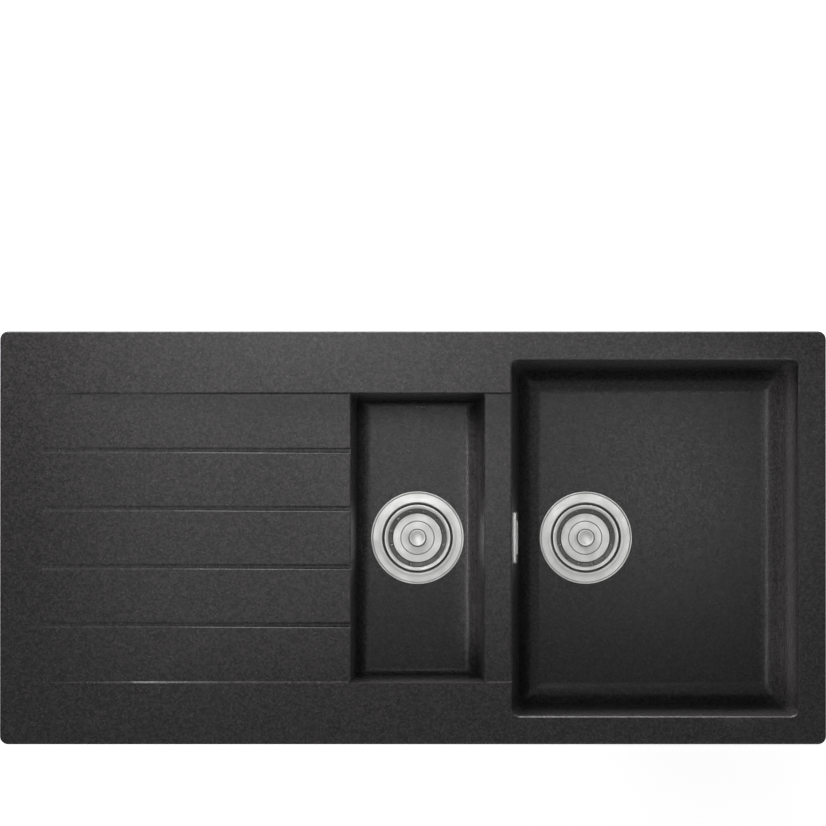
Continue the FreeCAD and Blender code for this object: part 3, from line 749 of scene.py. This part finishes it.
class SINK_OT_wastes(bpy.types.Operator):
    """Mould the two waste bodies, the main one with a barbed spigot for the overflow hose"""
    bl_idname = "sink.wastes"
    bl_label = "Waste bodies"

    def execute(self, context):
        need("main_waste_body", "small_waste_body")
        chamber = waste_chamber()
        finished(copied(chamber, "waste", drain("small")), "small_waste", "sink",
                 waste_plastic(), "small_waste_body")
        bore = [(5, 0), (5, 24), (5.3, 24.4), (6, 24.4)]
        barbs = [(6.9, 21.6), (6.1, 21.4), (6.9, 18), (6.1, 17.8), (6.9, 14.4), (6.1, 14.2), (6.1, 9)]
        foot = [(7, 8.6), (7, 4), (9, 1.5), (9, 0)]
        spigot = turned("spigot", bore + barbs + foot, 48)
        smoothed(spigot)
        spigot.rotation_euler = (0, -math.pi / 2, 0)
        spigot.location = (-44.6 * MM, 0, -35 * MM)
        into_mesh(spigot)
        waste = merged_pieces([chamber, spigot])
        waste.location = drain("main")
        into_mesh(waste)
        finished(waste, "main_waste", "sink", waste_plastic(), "main_waste_body")
        return {"FINISHED"}


class SINK_OT_baskets(bpy.types.Operator):
    """Press the lift-out baskets with their slotted sides and rolled rims"""
    bl_idname = "sink.baskets"
    bl_label = "Baskets"

    def execute(self, context):
        need("main_basket", "small_basket")
        outer = ([(0, -38), (29.5, -38)] + arc((29.9, -35.9), 2.1, -90, -8) + [(36.3, -7.4), (36.9, -6.2),
                 (39.6, -6), (40.2, -5.9), (40.5, -5.6)])
        inner = [(40.4, -5.15), (39.6, -5), (37.6, -5.2), (35.9, -5.7), (35.2, -7.2), (31, -35.4),
                 (29.8, -37), (21, -37), (20, -36.4), (8, -36.4), (7, -37), (0, -37)]
        basket = turned("basket", outer + inner)
        slot = rounded_block("slot", (26, -1.9, -30.5), (43, 1.9, -12.5), 1.85, 5)
        cut_away(basket, round_a_circle(slot, 12, 15))
        smoothed(basket, 30)
        one_per_bowl(basket, "strainer_basket", round_steel, "basket", moves=True)
        return {"FINISHED"}


class SINK_OT_knobs(bpy.types.Operator):
    """Turn the knobs that lift the baskets"""
    bl_idname = "sink.knobs"
    bl_label = "Basket knobs"

    def execute(self, context):
        need("main_basket_knob", "small_basket_knob")
        stem = [(0, -37), (6, -37), (6, -36.2), (4, -35.2), (3.6, -33), (3.6, -19), (4.4, -18)]
        side = arc((5.4, -14.6), 2.4, -110, -60, 3) + [(9.8, -11.6), (10.8, -10.6), (11, -9.6), (11, -6)]
        crown = arc((9.4, -4.9), 1.6, 0, 90, 5) + [(7.6, -3.4), (6.4, -4), (0, -4.2)]
        knob = turned("knob", stem + side + crown, 72)
        smoothed(knob, 35)
        one_per_bowl(knob, "knob", round_steel, "basket_knob", moves=True)
        return {"FINISHED"}


class SINK_OT_stoppers(bpy.types.Operator):
    """Mould the rubber rings that close the strainer cups"""
    bl_idname = "sink.stoppers"
    bl_label = "Stoppers"

    def execute(self, context):
        need("main_stopper_seal", "small_stopper_seal")
        upper = [(10.2, -41.6), (10, -41.2), (10, -38.4), (10.4, -38), (28, -38), (28.6, -38.5)]
        lower = [(29.4, -38.9), (30, -40.2), (29.8, -41.4), (29, -42), (26.5, -42), (25.8, -41.5),
                 (24, -41.5), (23.3, -42), (10.6, -42)]
        stopper = turned("stopper", upper + lower, 72)
        smoothed(stopper, 40)
        one_per_bowl(stopper, "stopper", rubber, "stopper_seal", moves=True)
        return {"FINISHED"}


def on_overflow_wall(piece):
    """Stands a piece, drawn about Z, on the bowl wall beside the bridge, facing into the bowl."""
    low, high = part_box("overflow_cover")
    half_height, half_thickness = 17 * MM, 1.25 * MM
    foot = Vector((low.x + half_height * math.sin(COVER_LEAN), 0,
                   (low.z + high.z) / 2 - half_thickness * math.sin(COVER_LEAN)))
    piece.rotation_euler = (0, math.pi / 2 - COVER_LEAN, 0)
    piece.location = foot
    return into_mesh(piece)


class SINK_OT_overflow_cover(bpy.types.Operator):
    """Press the overflow's cover plate and its slotted screw"""
    bl_idname = "sink.overflow_cover"
    bl_label = "Overflow cover"

    def execute(self, context):
        need("overflow_cover", "overflow_screw")
        cover = rounded_block("cover", (-17, -32, 0), (17, 32, 2.5), 3, 6)
        softened(cover, 0.9, 4, 40)
        slots = [block("slot", (x - 3.5, -20, -1), (x + 3.5, 20, 4)) for x in (-6.5, 6.5)]
        hole = prism("hole", 32, 5.4, -1, 4)
        cut_away(cover, slots + [hole])
        smoothed(cover, 30)
        on_overflow_wall(cover)
        finished(cover, "overflow_cover_plate", "sink", cover_steel(), "overflow_cover")
        shank = [(0, -22.4), (2.1, -22.4)] + thread(2.45, 0.4, 0.8, -22, -8) + [(2.45, -7.5), (2.45, 2.52)]
        head = [(4.6, 2.52), (5, 2.8)] + arc((2.6, 0.6), 3.7, 38, 85, 5) + [(0, 4.3)]
        screw = turned("screw", shank + head, 48)
        smoothed(screw, 30)
        cut_away(screw, [block("slot", (-0.6, -6, 3.2), (0.6, 6, 6))])
        smoothed(screw, 30)
        on_overflow_wall(screw)
        finished(screw, "overflow_slotted_screw", "sink", cover_steel(), "overflow_screw")
        return {"FINISHED"}


class SINK_OT_overflow_elbow(bpy.types.Operator):
    """Mould the box behind the overflow and its gasket"""
    bl_idname = "sink.overflow_elbow"
    bl_label = "Overflow box"

    def execute(self, context):
        need("overflow_elbow", "overflow_gasket")
        elbow = copy_of_node("overflow_elbow", "overflow_box")
        softened(elbow, 0.5, 3, 40)
        finished(elbow, "overflow_box", "sink", waste_plastic(), "overflow_elbow")
        gasket = copy_of_node("overflow_gasket", "overflow_gasket_frame")
        softened(gasket, 0.3, 2, 40)
        finished(gasket, "overflow_gasket_frame", "sink", rubber(), "overflow_gasket")
        return {"FINISHED"}


def hose_path(top, bend_start, corner, bend_end, end):
    """A curve down one straight run, round an arc and along another, and its length."""
    turn = (corner - bend_start).angle(end - bend_end)
    radius = (corner - bend_start).length / math.tan(turn / 2)
    reach = radius * 4 / 3 * math.tan(turn / 4)
    into_bend = (corner - bend_start).normalized() * reach
    out_of_bend = (end - bend_end).normalized() * reach
    nothing_selected()
    bpy.ops.curve.primitive_bezier_curve_add(location=(0, 0, 0))
    path = bpy.context.object
    spline = path.data.splines[0]
    spline.bezier_points.add(2)
    spline.resolution_u = 32
    first_run, last_run = (bend_start - top) / 3, (end - bend_end) / 3
    for point, (place, before, after) in zip(spline.bezier_points, (
            (top, -first_run, first_run), (bend_start, -first_run, into_bend),
            (bend_end, -out_of_bend, last_run), (end, -last_run, last_run))):
        point.handle_left_type = point.handle_right_type = "FREE"
        point.co, point.handle_left, point.handle_right = place, place + before, place + after
    return path, (bend_start - top).length + radius * turn + (end - bend_end).length


class SINK_OT_overflow_hose(bpy.types.Operator):
    """Make the ribbed hose from the overflow down to the main waste"""
    bl_idname = "sink.overflow_hose"
    bl_label = "Overflow hose"
    route = ((107.02, -73.09), (114.64, -190.81), (116.33, -217), (142.58, -217), (157.8, -217))
    cuff = 15
    bore_steps = 60

    def execute(self, context):
        need("overflow_hose")
        path, length = hose_path(*[Vector((x, 0, z)) * MM for x, z in self.route])
        length /= MM
        first_end = [(7.1, 0.4), (7.4, 0), (8.7, 0), (9, 0.3), (9, self.cuff - 1)]
        ribs = [(radius - 0.05, z) for radius, z in
                thread(9.05, 1.1, sizes().hose_rib / MM, self.cuff, length - self.cuff)]
        last_end = [(9, length - self.cuff + 1), (9, length - 0.3), (8.7, length), (7.4, length)]
        bore = [(7.1, length - 0.4 - (length - 0.8) * i / self.bore_steps) for i in range(self.bore_steps)]
        hose = turned("hose", first_end + ribs + last_end + bore, 48)
        smoothed(hose, 60)
        modified(hose, "CURVE", object=path, deform_axis="POS_Z")
        bpy.data.objects.remove(path)
        finished(hose, "overflow_tube", "sink", waste_plastic(), "overflow_hose")
        return {"FINISHED"}


class SINK_OT_clamp_fixings(bpy.types.Operator):
    """Make the plugs cast under the rim and the screws that hold the clamps"""
    bl_idname = "sink.clamp_fixings"
    bl_label = "Clamp plugs and screws"

    def execute(self, context):
        need("clamp_inserts", "clamp_screws")
        plugs = copy_of_node("clamp_inserts", "clamp_plugs")
        softened(plugs, 0.4, 2, 40)
        finished(plugs, "clamp_plugs", "sink", clamp_plastic(), "clamp_inserts")
        low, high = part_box("clamp_screws")
        head = prism("head", 6, 9, 0, 3.5)
        softened(head, 0.4, 3)
        cut_away(head, [block("cross", (-2.6, -0.6, -1), (2.6, 0.6, 1.6)),
                        block("cross", (-0.6, -2.6, -1), (0.6, 2.6, 1.6))])
        length = (high.z - low.z) / MM
        threaded = thread(2.45, 0.45, 1.2, length - 12.6, length - 0.6)
        shank = turned("shank", [(0, 3.4), (2.45, 3.4), (2.45, length - 13)] + threaded
                       + [(1.9, length), (0, length)], 32)
        smoothed(shank, 30)
        screw = merged_pieces([head, shank])
        for clamp in CLAMPS:
            hub = clamp_centre(clamp)
            made = copied(screw, "screw", Vector((hub.x, hub.y, low.z)))
            finished(made, clamp + "_screw", "sink", zinc(), "clamp_screws")
        bpy.data.objects.remove(screw)
        return {"FINISHED"}


class SINK_OT_clamps(bpy.types.Operator):
    """Mould the four swivelling worktop clamps"""
    bl_idname = "sink.clamps"
    bl_label = "Worktop clamps"

    def execute(self, context):
        need(*CLAMPS)
        for clamp in CLAMPS:
            arm = copy_of_node(clamp, clamp + "_moulding")
            softened(arm, 0.5, 3, 40)
            finished(arm, clamp + "_moulding", clamp + "_arm", clamp_plastic(), clamp)
        return {"FINISHED"}


# ---- the stage ----
def pale_floor_finish():
    """A dull pale paper that a camera sees lifted to white, except where the object shades it."""
    paper = bpy.data.materials.new("pale_floor")
    paper.use_nodes = True
    tree = paper.node_tree
    shader = tree.nodes["Principled BSDF"]
    shader.inputs["Base Color"].default_value = (0.86, 0.86, 0.86, 1)
    shader.inputs["Roughness"].default_value = 0.9
    shader.inputs["Specular IOR Level"].default_value = 0.0
    glow = tree.nodes.new("ShaderNodeEmission")
    path = tree.nodes.new("ShaderNodeLightPath")
    lift = tree.nodes.new("ShaderNodeMath")
    lift.operation = "MULTIPLY"
    lift.inputs[1].default_value = FLOOR_GLOW
    tree.links.new(path.outputs["Is Camera Ray"], lift.inputs[0])
    tree.links.new(lift.outputs["Value"], glow.inputs["Strength"])
    both = tree.nodes.new("ShaderNodeAddShader")
    tree.links.new(shader.outputs["BSDF"], both.inputs[0])
    tree.links.new(glow.outputs["Emission"], both.inputs[1])
    tree.links.new(both.outputs["Shader"], tree.nodes["Material Output"].inputs["Surface"])
    return paper


def lay_floor():
    bpy.ops.mesh.primitive_plane_add(size=40, location=(0, 0, frame_box[0].z - 0.5 * MM))
    floor = bpy.context.object
    floor.name = "floor"
    floor.data.materials.append(pale_floor_finish())


def light_all_round(strength):
    """Faint light from all round, in surroundings that a camera, metal and glass see as plain white."""
    world = bpy.data.worlds.new("soft_surroundings")
    bpy.context.scene.world = world
    world.use_nodes = True
    tree = world.node_tree
    dim = tree.nodes["Background"]
    dim.inputs["Color"].default_value = (1, 1, 1, 1)
    dim.inputs["Strength"].default_value = strength
    path = tree.nodes.new("ShaderNodeLightPath")
    seen = path.outputs["Is Camera Ray"]
    for other in ("Is Glossy Ray", "Is Transmission Ray"):
        either = tree.nodes.new("ShaderNodeMath")
        either.operation = "MAXIMUM"
        tree.links.new(seen, either.inputs[0])
        tree.links.new(path.outputs[other], either.inputs[1])
        seen = either.outputs["Value"]
    white = tree.nodes.new("ShaderNodeBackground")
    white.inputs["Color"].default_value = (1, 1, 1, 1)
    white.inputs["Strength"].default_value = 1.0
    mixed = tree.nodes.new("ShaderNodeMixShader")
    tree.links.new(seen, mixed.inputs["Fac"])
    tree.links.new(dim.outputs["Background"], mixed.inputs[1])
    tree.links.new(white.outputs["Background"], mixed.inputs[2])
    tree.links.new(mixed.outputs["Shader"], tree.nodes["World Output"].inputs["Surface"])


def lamp(name, place, target, size, power, spread=math.pi):
    """A flat lamp of a width and a depth, turned from its place to its target."""
    light = bpy.data.lights.new(name, "AREA")
    light.shape = "RECTANGLE"
    light.size, light.size_y = size
    light.energy = power
    light.spread = spread
    holder = bpy.data.objects.new(name, light)
    bpy.context.scene.collection.objects.link(holder)
    holder.location = place
    holder.rotation_mode = "QUATERNION"
    holder.rotation_quaternion = (Vector(target) - Vector(place)).to_track_quat("-Z", "Y")


def hang_lamps(settings):
    """The lamps over and behind the sink, those for each bowl's floor and right-hand wall, and the fill."""
    lamp("key_lamp", (-0.12, 0.523, 1.497), (-0.248, 0.499, 0), (0.317, 0.317), settings.key_power, 1.3)
    lamp("ledge_lamp", (-0.035, 0.305, 0.661), (-0.031, 0.279, 0), (0.8, 0.8), settings.ledge_power, 0.588)
    lamp("back_lamp", (-0.2, 1.6, 0.22), (-0.15, 0, 0), (1.4, 0.3), settings.back_power)
    for name, x, spread, share in (("main_bowl_lamp", 0.35, 0.3, 1.35),
                                   ("small_bowl_lamp", 0.006, 0.14, 0.35)):
        lamp(name, (x, 0.07, 1.6), (x, 0.07, 0), (0.15, 0.15), settings.bowl_power * share, spread)
    for name, x, height, wall, length, share in (("main_wall_lamp", 0.2, 0.3, 0.461, 0.38, 1.0),
                                                 ("small_wall_lamp", -0.06, 0.16, 0.08, 0.26, 0.22)):
        lamp(name, (x, 0, height), (wall, 0, -0.1), (length, 0.01), settings.wall_power * share, 0.28)
    lamp("fill_lamp", (0.7, -2.4, 0.5), (0, 0, -0.1), (1.8, 0.8), settings.fill_power)


def set_up_camera(settings):
    """A camera over the sink, tilted to put the picture's middle behind the sink's centre line."""
    camera = bpy.data.objects.new("camera", bpy.data.cameras.new("camera"))
    bpy.context.scene.collection.objects.link(camera)
    rim = frame_box[1].z
    camera.location = (0, 0, rim + settings.camera_height)
    camera.rotation_euler = (math.atan2(settings.picture_middle, settings.camera_height), 0, 0)
    camera.data.sensor_width = SENSOR
    camera.data.lens = SENSOR * settings.camera_height / settings.picture_width
    camera.data.clip_end = 100
    bpy.context.scene.camera = camera


class SINK_OT_stage(bpy.types.Operator):
    """Set out the floor, the soft lamps, the surroundings and the camera"""
    bl_idname = "sink.stage"
    bl_label = "Stage"

    def execute(self, context):
        settings = context.scene.sink_stage
        nothing_selected()
        lay_floor()
        light_all_round(settings.surroundings)
        hang_lamps(settings)
        set_up_camera(settings)
        context.scene.view_settings.view_transform = "Standard"
        return {"FINISHED"}


STEPS = (SINK_OT_casting, SINK_OT_sealing_strip, SINK_OT_strainer_cups, SINK_OT_waste_gaskets,
         SINK_OT_waste_screws, SINK_OT_wastes, SINK_OT_baskets, SINK_OT_knobs, SINK_OT_stoppers,
         SINK_OT_overflow_cover, SINK_OT_overflow_elbow, SINK_OT_overflow_hose, SINK_OT_clamp_fixings,
         SINK_OT_clamps, SINK_OT_stage)


class SINK_PT_pieces(bpy.types.Panel):
    """Sizes, colours and pieces of the sink"""
    bl_idname = "SINK_PT_pieces"
    bl_label = "Kitchen sink"
    bl_space_type = "VIEW_3D"
    bl_region_type = "UI"
    bl_category = "Sink"

    def draw(self, context):
        for group in (context.scene.sink_sizes, context.scene.sink_colours, context.scene.sink_stage):
            column = self.layout.column(align=True)
            for key in group.bl_rna.properties.keys():
                if key not in ("rna_type", "name"):
                    column.prop(group, key)
        for step in STEPS:
            self.layout.operator(step.bl_idname)


GROUPS = (("sink_sizes", SinkSizes), ("sink_colours", SinkColours), ("sink_stage", StageSettings))


def register():
    for name, group in GROUPS:
        bpy.utils.register_class(group)
        setattr(bpy.types.Scene, name, bpy.props.PointerProperty(type=group))
    for shown in STEPS + (SINK_PT_pieces,):
        bpy.utils.register_class(shown)


def unregister():
    for shown in reversed(STEPS + (SINK_PT_pieces,)):
        bpy.utils.unregister_class(shown)
    for name, group in reversed(GROUPS):
        delattr(bpy.types.Scene, name)
        bpy.utils.unregister_class(group)


def main():
    register()
    bpy.ops.sink.casting()
    bpy.ops.sink.sealing_strip()
    bpy.ops.sink.strainer_cups()
    bpy.ops.sink.waste_gaskets()
    bpy.ops.sink.waste_screws()
    bpy.ops.sink.wastes()
    bpy.ops.sink.baskets()
    bpy.ops.sink.knobs()
    bpy.ops.sink.stoppers()
    bpy.ops.sink.overflow_cover()
    bpy.ops.sink.overflow_elbow()
    bpy.ops.sink.overflow_hose()
    bpy.ops.sink.clamp_fixings()
    bpy.ops.sink.clamps()
    bpy.ops.sink.stage()
    nothing_selected()


if __name__ == "__main__":
    main()
